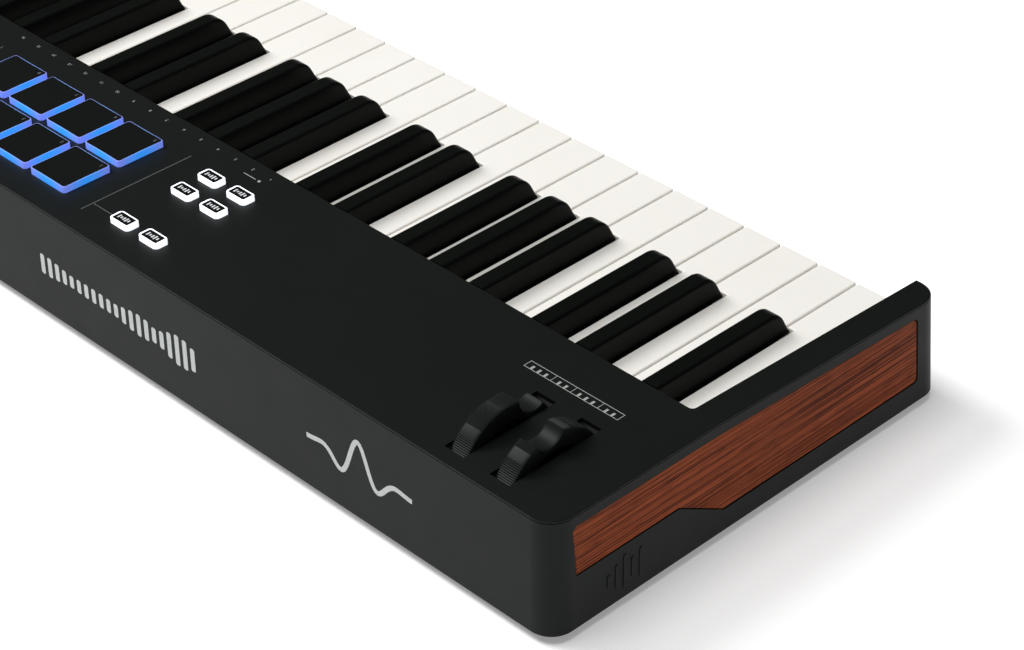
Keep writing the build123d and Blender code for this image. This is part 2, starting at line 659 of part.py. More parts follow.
def press_caps(centres):
    """Several equal buttons as one group."""
    single = press_cap((0, 0), BUTTON, BUTTON_RISE, 2.0)
    with BuildPart() as group:
        with Locations(*[(x, y, 0) for x, y in centres]):
            add(single.part)
    return group


save(press_caps(SCREEN_BUTTONS), "screen_buttons")
save(press_caps(TRANSPORT), "transport_buttons")


# ---- rotary knobs, push encoder, fader caps ----
def knob(centre, radius, rise, shaft_low):
    """Knob with a drafted fluted skirt, and its spindle down into the pot."""
    with BuildPart() as cap:
        with BuildSketch(Plane.XY.offset(PANEL_TOP + 0.8)):
            with Locations(centre):
                Circle(radius)
        extrude(amount=rise - 0.8, taper=3)
        fillet(cap.faces().sort_by(Axis.Z)[-1].edges(), radius=0.9)
        if shaft_low is not None:
            with BuildSketch(Plane.XY.offset(shaft_low)):
                with Locations(centre):
                    Circle(SHAFT_R)
            extrude(amount=PANEL_TOP + 1.0 - shaft_low)
    return cap


for number, centre in enumerate(KNOBS, start=1):
    cap = knob(centre, KNOB_R, KNOB_RISE, BOARD_TOP + 1.0)
    with BuildPart() as knob_node:
        add(cap.part)
        with BuildSketch(Plane.XY.offset(PANEL_TOP + KNOB_RISE)):
            with Locations((centre[0], centre[1] + KNOB_R - 3.2)):
                Rectangle(1.0, 4.4)
        extrude(amount=-0.6, mode=Mode.SUBTRACT)
    save(knob_node, f"knob_{number}")

ENCODER_BORE = 11.0
ENCODER_LOW = BOARD_TOP + 1.8
with BuildPart() as encoder_knob:
    add(knob((ENCODER_X, ENCODER_Y), ENCODER_R, 14.0, None).part)
    with Locations(Location((ENCODER_X, ENCODER_Y, PANEL_TOP + 0.8), (180, 0, 0))):
        Hole(SHAFT_R + RUNNING, depth=ENCODER_BORE)
save(encoder_knob, "encoder_knob")

with BuildPart() as encoder_shaft:
    with BuildSketch(Plane.XY.offset(ENCODER_LOW)):
        with Locations((ENCODER_X, ENCODER_Y)):
            Circle(SHAFT_R)
    extrude(amount=PANEL_TOP + 0.8 + ENCODER_BORE - 0.1 - ENCODER_LOW)
save(encoder_shaft, "encoder_shaft")

with BuildPart() as fader_caps:
    for x, y in FADERS:
        rest_y = y - FADER_TRAVEL / 2
        with BuildSketch(Plane.XZ.offset(-rest_y)):
            with Locations((x, PANEL_TOP + 1.0)):
                Trapezoid(FADER_CAP[0], FADER_CAP[2], 82, align=(Align.CENTER, Align.MIN))
        extrude(amount=FADER_CAP[1] / 2, both=True)
        block(x - LEVER[0] / 2, x + LEVER[0] / 2, rest_y - LEVER[1] / 2, rest_y + LEVER[1] / 2,
              BOARD_TOP + 2.0, PANEL_TOP + 1.5)
        with BuildSketch(Plane.YZ.offset(x - FADER_CAP[0])):
            with Locations((rest_y, PANEL_TOP + FADER_CAP[2] + 3.6)):
                Circle(5.0)
        extrude(amount=2 * FADER_CAP[0], mode=Mode.SUBTRACT)
save(fader_caps, "fader_caps")

POT_H = 6.6
with BuildPart() as control_pots:
    with BuildSketch(Plane.XY.offset(BOARD_TOP)):
        with Locations(*KNOBS, (ENCODER_X, ENCODER_Y)):
            Rectangle(11.0, 11.0)
        with Locations(*FADERS):
            Rectangle(8.6, FADER_TRAVEL + 16.0)
    extrude(amount=POT_H)
    with BuildSketch(Plane.XY.offset(BOARD_TOP + 0.8)):
        with Locations(*KNOBS, (ENCODER_X, ENCODER_Y)):
            Circle(SHAFT_R + RUNNING)
        with Locations(*FADERS):
            Rectangle(1.8, FADER_TRAVEL + 7.0)
    extrude(amount=POT_H, mode=Mode.SUBTRACT)
save(control_pots, "control_pots")

# ---- boards ----
with BuildPart() as panel_board:
    block(LEFT + 275, KNOBS[-1][0] + 12, KEY_FRONT + 178, KEY_FRONT + 228.5, BOARD_TOP - BOARD_T, BOARD_TOP)
    block(LEFT + 275, KNOBS[-1][0] + 12, KEY_FRONT + 152, KEY_FRONT + 180, BOARD_TOP - BOARD_T, BOARD_TOP)
save(panel_board, "panel_board")

with BuildPart() as main_board:
    block(USB_X - 18, JACK_X[-1] + 18, REAR - 54, REAR - 5, MAIN_BOARD_TOP - BOARD_T, MAIN_BOARD_TOP)
save(main_board, "main_board")

# ---- rear sockets ----
SOCKET_FACE = REAR - 0.6
with BuildPart() as rear_sockets:
    for x, half_w, height, depth in [(USB_X, 6.5, 13.0, 12.0), (DIN_X, 10.5, 20.0, 16.0)] + [
        (jack, 8.0, 16.0, 26.0) for jack in JACK_X
    ]:
        block(x - half_w, x + half_w, REAR - WALL - depth, REAR - WALL, MAIN_BOARD_TOP, MAIN_BOARD_TOP + height)
    with BuildSketch(Plane.XZ.offset(-SOCKET_FACE)):
        with Locations((USB_X, SOCKET_Z)):
            RectangleRounded(9.8, 4.4, 2.0)
        with Locations((DIN_X, SOCKET_Z)):
            Circle(DIN_R + 1.5)
        with Locations(*[(x, SOCKET_Z) for x in JACK_X]):
            Circle(JACK_R + 1.5)
    extrude(amount=WALL)
    with BuildSketch(Plane.XZ.offset(-REAR)):
        with Locations((DIN_X, SOCKET_Z)):
            Circle(DIN_R)
    extrude(amount=13.0, mode=Mode.SUBTRACT)
    with BuildSketch(Plane.XZ.offset(-REAR)):
        with Locations((USB_X, SOCKET_Z)):
            RectangleRounded(9.0, 3.2, 1.5)
            RectangleRounded(6.6, 0.7, 0.3, mode=Mode.SUBTRACT)
    extrude(amount=8.0, mode=Mode.SUBTRACT)
    with BuildSketch(Plane.XZ.offset(-REAR)):
        with Locations(*[(x, SOCKET_Z) for x in JACK_X]):
            Circle(JACK_R)
    extrude(amount=25.0, mode=Mode.SUBTRACT)
save(rear_sockets, "rear_sockets")

# ---- screws and feet ----
with BuildPart() as case_screws:
    screw_tops = [(x, POST_Y, 14.0) for x in POST_X] + [(x, BED_SCREW_Y, 5.0) for x in BED_SCREW_X]
    for x, y, length in screw_tops:
        with BuildSketch(Plane.XY.offset(FOOT)):
            with Locations((x, y)):
                Circle(HEAD_R)
        extrude(amount=HEAD_H)
        with BuildSketch(Plane.XY.offset(FOOT)):
            with Locations((x, y)):
                Rectangle(3.6, 0.8)
                Rectangle(0.8, 3.6)
        extrude(amount=1.0, mode=Mode.SUBTRACT)
        with BuildSketch(Plane.XY.offset(FOOT + HEAD_H)):
            with Locations((x, y)):
                Circle(SCREW_R)
        extrude(amount=length)
save(case_screws, "case_screws")

with BuildPart() as rubber_feet:
    with BuildSketch(Plane.XY.offset(FOOT)):
        with Locations(*FEET):
            Circle(FOOT_R)
    extrude(amount=-FOOT, taper=6)
save(rubber_feet, "rubber_feet")
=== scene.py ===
import json
from math import cos, exp, pi, radians, sin, sqrt

import bmesh
import bpy
from mathutils import Matrix, Vector


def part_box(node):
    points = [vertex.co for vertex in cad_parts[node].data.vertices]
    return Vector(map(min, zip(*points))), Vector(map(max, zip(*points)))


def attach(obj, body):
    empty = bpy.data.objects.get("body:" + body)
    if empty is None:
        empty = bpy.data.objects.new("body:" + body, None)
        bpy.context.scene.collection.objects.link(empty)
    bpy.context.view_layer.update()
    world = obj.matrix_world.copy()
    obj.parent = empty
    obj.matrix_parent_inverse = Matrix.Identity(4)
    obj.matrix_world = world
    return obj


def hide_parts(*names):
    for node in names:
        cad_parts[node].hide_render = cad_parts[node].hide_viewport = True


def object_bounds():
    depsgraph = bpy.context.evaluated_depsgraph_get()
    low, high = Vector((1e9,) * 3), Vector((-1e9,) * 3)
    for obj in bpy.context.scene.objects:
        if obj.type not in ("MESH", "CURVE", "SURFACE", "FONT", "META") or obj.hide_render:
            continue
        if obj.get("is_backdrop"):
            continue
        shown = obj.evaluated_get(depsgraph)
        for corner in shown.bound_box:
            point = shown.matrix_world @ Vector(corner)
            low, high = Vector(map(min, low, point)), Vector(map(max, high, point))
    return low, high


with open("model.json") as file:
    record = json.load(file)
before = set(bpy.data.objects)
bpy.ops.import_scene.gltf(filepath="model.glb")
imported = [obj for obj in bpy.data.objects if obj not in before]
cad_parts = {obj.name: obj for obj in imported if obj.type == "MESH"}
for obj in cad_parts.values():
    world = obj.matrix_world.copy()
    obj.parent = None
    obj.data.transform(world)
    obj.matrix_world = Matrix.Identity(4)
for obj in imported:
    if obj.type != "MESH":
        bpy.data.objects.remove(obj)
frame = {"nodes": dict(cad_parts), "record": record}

cad_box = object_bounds()

MM = 0.001
NODES = frame["nodes"]


# ---------------------------------------------------------------- the frame's places
def middle(node):
    """Centre of a CAD node's box."""
    low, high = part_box(node)
    return (low + high) / 2


PANEL_LOW_BOX, PANEL_HIGH_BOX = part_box("top_panel")
PANEL_TOP = PANEL_HIGH_BOX.z
LEFT = PANEL_LOW_BOX.x
REAR = PANEL_HIGH_BOX.y
KEY_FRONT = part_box("keys_c")[0].y
CASE_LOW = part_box("bottom_case")[0].z


# ---------------------------------------------------------------- materials
class Shader:
    """A material's node tree, with short calls for the nodes that the finishes share."""

    def __init__(self, name):
        self.material = bpy.data.materials.new(name)
        self.material.use_nodes = True
        self.nodes = self.material.node_tree.nodes
        self.links = self.material.node_tree.links
        self.surface = self.nodes["Principled BSDF"]
        self.coordinates = self.nodes.new("ShaderNodeTexCoord").outputs["Object"]

    def add(self, kind, **settings):
        node = self.nodes.new(kind)
        for key, value in settings.items():
            setattr(node, key, value)
        return node

    def set(self, **values):
        for key, value in values.items():
            self.surface.inputs[key.replace("_", " ")].default_value = value
        return self

    def stretched(self, scale):
        """Object coordinates, scaled along each axis."""
        mapping = self.add("ShaderNodeMapping")
        mapping.inputs["Scale"].default_value = scale
        self.links.new(self.coordinates, mapping.inputs["Vector"])
        return mapping.outputs["Vector"]

    def noise(self, scale, detail=3.0, roughness=0.5, vector=None, distortion=0.0):
        texture = self.add("ShaderNodeTexNoise")
        texture.inputs["Scale"].default_value = scale
        texture.inputs["Detail"].default_value = detail
        texture.inputs["Roughness"].default_value = roughness
        texture.inputs["Distortion"].default_value = distortion
        self.links.new(vector or self.coordinates, texture.inputs["Vector"])
        return texture.outputs["Fac"]

    def ramp(self, factor, stops):
        ramp = self.add("ShaderNodeValToRGB")
        elements = ramp.color_ramp.elements
        while len(elements) < len(stops):
            elements.new(0.5)
        for element, (place, colour) in zip(elements, stops):
            element.position = place
            element.color = (*colour, 1.0)
        self.links.new(factor, ramp.inputs["Fac"])
        return ramp.outputs["Color"]

    def multiply(self, colour, tone, share):
        """Colour darkened by a second colour, by a share from 0 to 1."""
        mix = self.add("ShaderNodeMix", data_type="RGBA", blend_type="MULTIPLY")
        mix.inputs["Factor"].default_value = share
        self.links.new(colour, mix.inputs[6])
        self.links.new(tone, mix.inputs[7])
        return mix.outputs[2]

    def levels(self, factor, low, high):
        """Spread a 0 to 1 factor between two numbers."""
        spread = self.add("ShaderNodeMapRange")
        spread.inputs["To Min"].default_value = low
        spread.inputs["To Max"].default_value = high
        self.links.new(factor, spread.inputs["Value"])
        return spread.outputs["Result"]

    def colour(self, output):
        self.links.new(output, self.surface.inputs["Base Color"])

    def rough(self, factor, low, high):
        self.links.new(self.levels(factor, low, high), self.surface.inputs["Roughness"])

    def bump(self, height, strength, distance):
        bump = self.add("ShaderNodeBump")
        bump.inputs["Strength"].default_value = strength
        bump.inputs["Distance"].default_value = distance
        self.links.new(height, bump.inputs["Height"])
        self.links.new(bump.outputs["Normal"], self.surface.inputs["Normal"])


def plastic(name, dark, light, rough=(0.42, 0.52), grain=2600.0, bump=0.10, specular=0.5, coat=0.0):
    """Moulded plastic: slow drift of tone, fine texture in height and gloss."""
    s = Shader(name)
    s.set(Specular_IOR_Level=specular, Coat_Weight=coat, Coat_Roughness=0.12)
    s.colour(s.ramp(s.noise(9.0, 4.0), [(0.35, dark), (0.65, light)]))
    fine = s.noise(grain, 2.0, 0.6)
    s.rough(s.noise(60.0, 5.0), *rough)
    s.bump(fine, bump, 0.00012)
    return s.material


def metal(name, dark, light, rough=(0.25, 0.4), grain=(40.0, 900.0, 900.0)):
    """Drawn or turned metal with fine lines along X."""
    s = Shader(name)
    s.set(Metallic=1.0)
    lines = s.noise(1.0, 3.0, 0.6, s.stretched(grain))
    s.colour(s.ramp(lines, [(0.3, dark), (0.7, light)]))
    s.rough(lines, *rough)
    s.bump(lines, 0.12, 0.0001)
    return s.material


def wood():
    """Red-brown veneer: broad bands, close dark grain lines and short pores along Y, and a low sheen."""
    s = Shader("end_wood")
    s.set(Specular_IOR_Level=0.06)
    bands = s.noise(1.0, 3.0, 0.5, s.stretched((30.0, 3.5, 70.0)), 0.4)
    lines = s.noise(1.0, 2.0, 0.6, s.stretched((80.0, 7.0, 1300.0)), 0.1)
    pores = s.noise(1.0, 2.0, 0.6, s.stretched((900.0, 60.0, 1500.0)))
    base = s.ramp(bands, [
        (0.28, (0.205, 0.043, 0.0135)), (0.5, (0.265, 0.058, 0.0185)), (0.74, (0.320, 0.074, 0.0245)),
    ])
    line_tone = s.ramp(lines, [
        (0.39, (0.26, 0.22, 0.20)), (0.48, (0.74, 0.72, 0.70)), (0.57, (1.22, 1.19, 1.16)),
    ])
    pore_tone = s.ramp(pores, [(0.37, (0.32, 0.29, 0.27)), (0.46, (1.0, 1.0, 1.0))])
    tone = s.multiply(base, line_tone, 1.0)
    s.colour(s.multiply(tone, pore_tone, 0.7))
    s.rough(lines, 0.66, 0.5)
    s.bump(lines, 0.3, 0.00015)
    return s.material


def key_white():
    """Slightly warm key plastic, a little translucent, with a faint drift in tone and gloss."""
    s = Shader("white_key_plastic")
    s.set(Specular_IOR_Level=0.3, Coat_Weight=0.15, Coat_Roughness=0.2, Subsurface_Weight=0.1)
    s.surface.inputs["Subsurface Radius"].default_value = (0.004, 0.003, 0.002)
    s.surface.inputs["Subsurface Scale"].default_value = 1.0
    s.colour(s.ramp(s.noise(14.0, 3.0), [(0.3, (0.865, 0.838, 0.782)), (0.7, (0.895, 0.874, 0.824))]))
    s.rough(s.noise(90.0, 5.0), 0.24, 0.36)
    s.bump(s.noise(700.0, 2.0), 0.04, 0.0001)
    return s.material


def glow(name, mid, edge, strength):
    """Translucent rubber lit from inside: mid colour along the sides, edge colour at the corners."""
    s = Shader(name)
    s.set(Roughness=0.45, Specular_IOR_Level=0.3)
    where = s.add("ShaderNodeAttribute", attribute_name="corner").outputs["Fac"]
    mottled = s.add("ShaderNodeMath", operation="ADD")
    s.links.new(where, mottled.inputs[0])
    s.links.new(s.levels(s.noise(160.0, 2.0), -0.08, 0.08), mottled.inputs[1])
    lit = s.ramp(mottled.outputs[0], [(0.0, mid), (1.0, edge)])
    s.colour(lit)
    s.links.new(lit, s.surface.inputs["Emission Color"])
    s.set(Emission_Strength=strength)
    return s.material


def ink(name, colour, wear=0.12):
    """Printed ink, slightly uneven in tone."""
    s = Shader(name)
    worn = tuple(c * (1.0 - wear) for c in colour)
    s.colour(s.ramp(s.noise(900.0, 3.0), [(0.35, worn), (0.6, colour)]))
    s.rough(s.noise(300.0, 2.0), 0.45, 0.6)
    return s.material


def case_plastic():
    """Satin moulding, black with a trace of green."""
    return plastic(
        "case_plastic", dark=(0.0056, 0.0080, 0.0066), light=(0.0071, 0.0099, 0.0081),
        rough=(0.48, 0.56), grain=2200.0, bump=0.14, specular=0.13,
    )


def panel_metal():
    """Powder-coated sheet, darker and smoother than the case."""
    return plastic(
        "panel_metal", dark=(0.0038, 0.0052, 0.0042), light=(0.0047, 0.0063, 0.0051),
        rough=(0.40, 0.46), grain=3200.0, bump=0.08, specular=0.17,
    )


def black_key():
    """Near-black key plastic with a soft shine."""
    return plastic(
        "black_key_plastic", dark=(0.0030, 0.0037, 0.0031), light=(0.0041, 0.0049, 0.0042),
        rough=(0.28, 0.36), grain=1800.0, bump=0.05, specular=0.06,
    )


def wheel_plastic():
    """Satin wheel rubber."""
    return plastic(
        "wheel_plastic", dark=(0.0064, 0.0083, 0.0073), light=(0.0086, 0.0109, 0.0097),
        rough=(0.44, 0.52), grain=3000.0, bump=0.06, specular=0.15,
    )


def knob_plastic():
    """Satin black knob."""
    return plastic(
        "knob_plastic", dark=(0.010, 0.010, 0.011), light=(0.014, 0.014, 0.015),
        rough=(0.38, 0.48),
    )


def fader_plastic():
    """Satin black fader cap."""
    return plastic(
        "fader_plastic", dark=(0.012, 0.012, 0.012), light=(0.017, 0.017, 0.017),
        rough=(0.4, 0.5),
    )


def screen_lens():
    """Dark glossy window."""
    return plastic(
        "screen_lens", dark=(0.003, 0.0035, 0.004), light=(0.004, 0.0045, 0.005),
        rough=(0.06, 0.1), grain=900.0, bump=0.01,
    )


def frame_plastic():
    """Dark grey keybed moulding."""
    return plastic(
        "frame_plastic", dark=(0.05, 0.05, 0.05), light=(0.07, 0.07, 0.07),
        rough=(0.5, 0.6),
    )


def board_green():
    """Circuit board under green solder mask."""
    return plastic(
        "solder_mask", dark=(0.012, 0.075, 0.03), light=(0.018, 0.10, 0.04),
        rough=(0.28, 0.4), grain=700.0, bump=0.1,
    )


def contact_silicone():
    """Pale contact rubber."""
    return plastic(
        "silicone", dark=(0.42, 0.42, 0.40), light=(0.5, 0.5, 0.48),
        rough=(0.55, 0.7),
    )


def foot_rubber():
    """Dull black rubber."""
    return plastic(
        "foot_rubber", dark=(0.014, 0.014, 0.014), light=(0.022, 0.022, 0.022),
        rough=(0.75, 0.9), grain=1500.0, bump=0.3, specular=0.3,
    )


def socket_plastic():
    """Black socket body."""
    return plastic(
        "socket_plastic", dark=(0.01, 0.01, 0.01), light=(0.015, 0.015, 0.015),
        rough=(0.4, 0.5),
    )


def pad_face():
    """Matt black face of a pad or a button."""
    return plastic(
        "pad_face", dark=(0.0034, 0.0046, 0.0038), light=(0.0046, 0.0060, 0.0050),
        rough=(0.6, 0.7), grain=1500.0, bump=0.2, specular=0.05,
    )


def steel():
    """Zinc-plated steel."""
    return metal("zinc_steel", (0.42, 0.43, 0.44), (0.58, 0.59, 0.60))


def spring_steel():
    """Bright spring steel."""
    return metal("spring_steel", (0.5, 0.5, 0.5), (0.66, 0.66, 0.66))


def pot_metal():
    """Pressed steel of pots and fader bodies."""
    return metal("pot_metal", (0.4, 0.4, 0.4), (0.55, 0.55, 0.55))


def pad_rubber():
    """Sides of a pad lit blue, more lilac at the corners."""
    return glow("pad_glow", (0.035, 0.30, 0.95), (0.17, 0.24, 0.80), 0.72)


def pad_rim():
    """Dimmer rim around a pad's face."""
    return glow("pad_rim", (0.15, 0.27, 0.62), (0.20, 0.24, 0.60), 0.32)


def button_rubber():
    """Button lit white."""
    return glow("button_glow", (0.95, 0.97, 1.0), (0.86, 0.90, 1.0), 1.0)


def screen_light():
    """Pale blue light of the display."""
    return glow("screen_light", (0.25, 0.55, 0.8), (0.35, 0.65, 0.9), 0.5)


def panel_ink():
    """Pale print on the panel."""
    return ink("panel_ink", (0.36, 0.37, 0.36))


def line_ink():
    """Dim lines on the panel."""
    return ink("line_ink", (0.085, 0.09, 0.085))


def wall_ink():
    """Pale print on the rear wall."""
    return ink("wall_ink", (0.55, 0.58, 0.57))


def face_ink():
    """Near-white marks on buttons, knobs and faders."""
    return ink("face_ink", (0.74, 0.75, 0.77))


def pad_ink():
    """Dim numbers on the pads."""
    return ink("pad_ink", (0.16, 0.18, 0.20))


MATERIALS = {
    "case_plastic": case_plastic(),
    "panel_metal": panel_metal(),
    "end_wood": wood(),
    "white_key": key_white(),
    "black_key": black_key(),
    "wheel_plastic": wheel_plastic(),
    "knob_plastic": knob_plastic(),
    "fader_plastic": fader_plastic(),
    "screen_lens": screen_lens(),
    "screen_light": screen_light(),
    "steel": steel(),
    "frame_plastic": frame_plastic(),
    "board_green": board_green(),
    "contact_silicone": contact_silicone(),
    "spring_steel": spring_steel(),
    "foot_rubber": foot_rubber(),
    "socket_plastic": socket_plastic(),
    "pot_metal": pot_metal(),
    "pad_face": pad_face(),
    "pad_rubber": pad_rubber(),
    "pad_rim": pad_rim(),
    "button_rubber": button_rubber(),
    "panel_ink": panel_ink(),
    "line_ink": line_ink(),
    "wall_ink": wall_ink(),
    "face_ink": face_ink(),
    "pad_ink": pad_ink(),
}


# ---------------------------------------------------------------- mesh building
def new_piece(name, vertices, faces, materials, slots=None, smooth=30.0, weld=0.0):
    """Mesh object from points and faces, shaded smooth up to an angle in degrees."""
    mesh = bpy.data.meshes.new(name)
    mesh.from_pydata([tuple(v) for v in vertices], [], faces)
    for material in materials:
        mesh.materials.append(MATERIALS[material])
    if slots:
        mesh.polygons.foreach_set("material_index", slots)
    mesh.update()
    piece = bpy.data.objects.new(name, mesh)
    bpy.context.scene.collection.objects.link(piece)
    smooth_by_angle(piece, smooth, weld)
    return piece


def smooth_by_angle(piece, limit, weld):
    """Smooth shading, with a sharp edge wherever two faces meet at more than limit degrees.
    Points closer than weld are joined first. It is for new pieces only: CAD nodes keep their own shading."""
    graph = bmesh.new()
    graph.from_mesh(piece.data)
    if weld > 0.0:
        bmesh.ops.remove_doubles(graph, verts=graph.verts, dist=weld)
    bmesh.ops.recalc_face_normals(graph, faces=graph.faces)
    for face in graph.faces:
        face.smooth = True
    for edge in graph.edges:
        edge.smooth = len(edge.link_faces) == 2 and edge.calc_face_angle(0.0) < radians(limit)
    graph.to_mesh(piece.data)
    graph.free()


def rounded_outline(half_x, half_y, radius, side_steps=8, corner_steps=6):
    """Points around a rounded rectangle about the origin, each with its share of the way to a corner."""
    points = []
    for corner, (sx, sy) in enumerate(((1, 1), (-1, 1), (-1, -1), (1, -1))):
        centre = Vector((sx * (half_x - radius), sy * (half_y - radius)))
        for step in range(corner_steps + 1):
            angle = pi / 2 * (corner + step / corner_steps)
            points.append((centre + radius * Vector((cos(angle), sin(angle))), 1.0))
        along_x = corner % 2 == 0
        reach = (half_x if along_x else half_y) - radius
        start = points[-1][0]
        for step in range(1, side_steps):
            share = step / side_steps
            shift = 2 * reach * share
            offset = Vector((-sx * shift, 0.0)) if along_x else Vector((0.0, -sy * shift))
            points.append((start + offset, abs(2 * share - 1)))
    return points


def loft(name, rings, bands, materials, corner=None, close_low=True, close_high=True, smooth=30.0):
    """Skin through rings with the same number of points; bands gives each strip's material index.
    The last entries of bands are for the low cap and the high cap."""
    count = len(rings[0])
    vertices = [point for ring in rings for point in ring]
    faces, slots = [], []
    for level in range(len(rings) - 1):
        near, far = level * count, (level + 1) * count
        for i in range(count):
            j = (i + 1) % count
            faces.append((near + i, near + j, far + j, far + i))
            slots.append(bands[level])
    if close_low:
        faces.append(tuple(range(count))[::-1])
        slots.append(bands[0])
    if close_high:
        faces.append(tuple((len(rings) - 1) * count + i for i in range(count)))
        slots.append(bands[-1])
    piece = new_piece(name, vertices, faces, materials, slots, smooth)
    if corner is not None:
        values = piece.data.attributes.new("corner", "FLOAT", "POINT")
        values.data.foreach_set("value", corner * len(rings))
    return piece


def cap_rings(outline, centre, low, high, rounding, steps=3):
    """Rings of an upright cap with a rounded upper edge, as (ring, inset) pairs."""
    def ring(z, inset):
        made = []
        for point, _ in outline:
            outward = Vector((point.x, point.y, 0.0)) * (1.0 - inset / point.length)
            made.append(Vector((centre[0], centre[1], z)) + outward)
        return made
    rings = [ring(low, 0.0), ring(high - rounding, 0.0)]
    for step in range(1, steps + 1):
        angle = pi / 2 * step / steps
        rings.append(ring(high - rounding * (1 - sin(angle)), rounding * (1 - cos(angle))))
    return rings, ring


# ---------------------------------------------------------------- prints
class Print:
    """Collects flat closed marks on one face and turns them into a single thin piece."""

    def __init__(self, origin, right, up, thickness=0.03 * MM):
        self.right = Vector(right)
        self.up = Vector(up)
        self.out = self.right.cross(self.up)
        self.origin = Vector(origin) + self.out * 0.004 * MM
        self.thickness = thickness
        self.vertices = []
        self.faces = []

    def polygon(self, points):
        """Closed slab over a flat outline, counter-clockwise."""
        base = len(self.vertices)
        count = len(points)
        for lift in (0.0, self.thickness):
            for u, v in points:
                self.vertices.append(self.origin + self.right * u + self.up * v + self.out * lift)
        self.faces.append(tuple(base + i for i in range(count))[::-1])
        self.faces.append(tuple(base + count + i for i in range(count)))
        for i in range(count):
            j = (i + 1) % count
            self.faces.append((base + i, base + j, base + count + j, base + count + i))

    def bar(self, u, v, width, height, radius=0.0):
        """Rectangle about (u, v), with round corners when radius is given."""
        if radius <= 0.0:
            w, h = width / 2, height / 2
            self.polygon([(u - w, v - h), (u + w, v - h), (u + w, v + h), (u - w, v + h)])
            return
        outline = rounded_outline(width / 2, height / 2, radius, 1, 5)
        self.polygon([(u + p.x, v + p.y) for p, _ in outline])

    def disc(self, u, v, radius, steps=24):
        turns = [2 * pi * i / steps for i in range(steps)]
        self.polygon([(u + radius * cos(turn), v + radius * sin(turn)) for turn in turns])

    def strip(self, left, right, closed):
        """Closed skin over the flat strip between two edges, which is a ring when closed."""
        base = len(self.vertices)
        count = len(left)
        for lift in (0.0, self.thickness):
            for u, v in [*left, *right]:
                self.vertices.append(self.origin + self.right * u + self.up * v + self.out * lift)
        low_left, low_right, high_left, high_right = (base + count * i for i in range(4))
        for i in range(count if closed else count - 1):
            j = (i + 1) % count
            self.faces.append((low_left + i, low_left + j, low_right + j, low_right + i))
            self.faces.append((high_left + i, high_right + i, high_right + j, high_left + j))
            self.faces.append((low_left + i, high_left + i, high_left + j, low_left + j))
            self.faces.append((low_right + i, low_right + j, high_right + j, high_right + i))
        if not closed:
            for i in (0, count - 1):
                self.faces.append((low_left + i, low_right + i, high_right + i, high_left + i))

    def ribbon(self, points, width):
        """Curved line of one width."""
        path = [Vector(point) for point in points]
        left, right = [], []
        for i, here in enumerate(path):
            along = (path[min(i + 1, len(path) - 1)] - path[max(i - 1, 0)]).normalized()
            side = Vector((-along.y, along.x)) * width / 2
            left.append(tuple(here + side))
            right.append(tuple(here - side))
        self.strip(left, right, closed=False)

    def frame(self, u, v, width, height, line):
        """Outline of a rectangle."""
        turns = ((1, 1), (-1, 1), (-1, -1), (1, -1))
        outer = [(u + x * width / 2, v + y * height / 2) for x, y in turns]
        inner = [(u + x * (width / 2 - line), v + y * (height / 2 - line)) for x, y in turns]
        self.strip(outer, inner, closed=True)

    def digits(self, text, u, v, height):
        """Number in the built-in font, centred on (u, v)."""
        curve = bpy.data.curves.new("digits", "FONT")
        curve.body = text
        curve.size = height * 1.38
        curve.align_x = "CENTER"
        curve.align_y = "CENTER"
        curve.resolution_u = 3
        curve.extrude = self.thickness / 2
        holder = bpy.data.objects.new("digits", curve)
        bpy.context.scene.collection.objects.link(holder)
        bpy.context.view_layer.update()
        mesh = bpy.data.meshes.new_from_object(holder.evaluated_get(bpy.context.evaluated_depsgraph_get()))
        base = len(self.vertices)
        for vertex in mesh.vertices:
            lift = vertex.co.z + self.thickness / 2
            self.vertices.append(
                self.origin + self.right * (u + vertex.co.x) + self.up * (v + vertex.co.y) + self.out * lift
            )
        for face in mesh.polygons:
            self.faces.append(tuple(base + i for i in face.vertices))
        bpy.data.objects.remove(holder)
        bpy.data.meshes.remove(mesh)
        bpy.data.curves.remove(curve)

    def piece(self, name, material, body, slot):
        """The marks so far, as one piece on a body."""
        made = new_piece(name, self.vertices, self.faces, [material], smooth=20.0, weld=1e-7)
        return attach(made, body)


# ---------------------------------------------------------------- pads
PAD_CORNER = 1.6 * MM


def pad(number):
    """Lit rubber pad: clear sides, a narrow rim and a matt black face with its number."""
    node = f"pad_{number}"
    low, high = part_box(node)
    centre = (low + high) / 2
    half = (high - low) / 2
    outline = rounded_outline(half.x, half.y, PAD_CORNER, 12, 5)
    rings, ring = cap_rings(outline, centre, low.z, high.z, 0.4 * MM)
    bands = [0] * (len(rings) - 2) + [1]
    rings += [ring(high.z, 0.62 * MM), ring(high.z - 0.1 * MM, 0.7 * MM), ring(high.z - 0.02 * MM, 0.82 * MM)]
    bands += [1, 2, 2, 2]
    corner = [share ** 1.6 for _, share in outline]
    cap = loft(f"{node}_cap", rings, bands, ["pad_rubber", "pad_rim", "pad_face"], corner)
    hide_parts(node)
    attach(cap, node)
    mark = Print((centre.x, centre.y, high.z - 0.02 * MM), (1, 0, 0), (0, 1, 0))
    mark.digits(str(number), 3.3 * MM - half.x, 3.1 * MM - half.y, 2.0 * MM)
    mark.piece(f"{node}_number", "pad_ink", node, "pad_rubber")


# ---------------------------------------------------------------- lit buttons
BUTTON_CORNER = 2.0 * MM
TRANSPORT_STYLES = ["back", "skip", "loop", "bars", "stop", "play", "record", "dash"]
SCREEN_STYLES = ["dash", "dash", "dash", "dash", "back", "bars"]
COMMAND_BUTTONS = [f"command_button_{i}" for i in range(1, 5)] + ["part_button", "bank_button"]


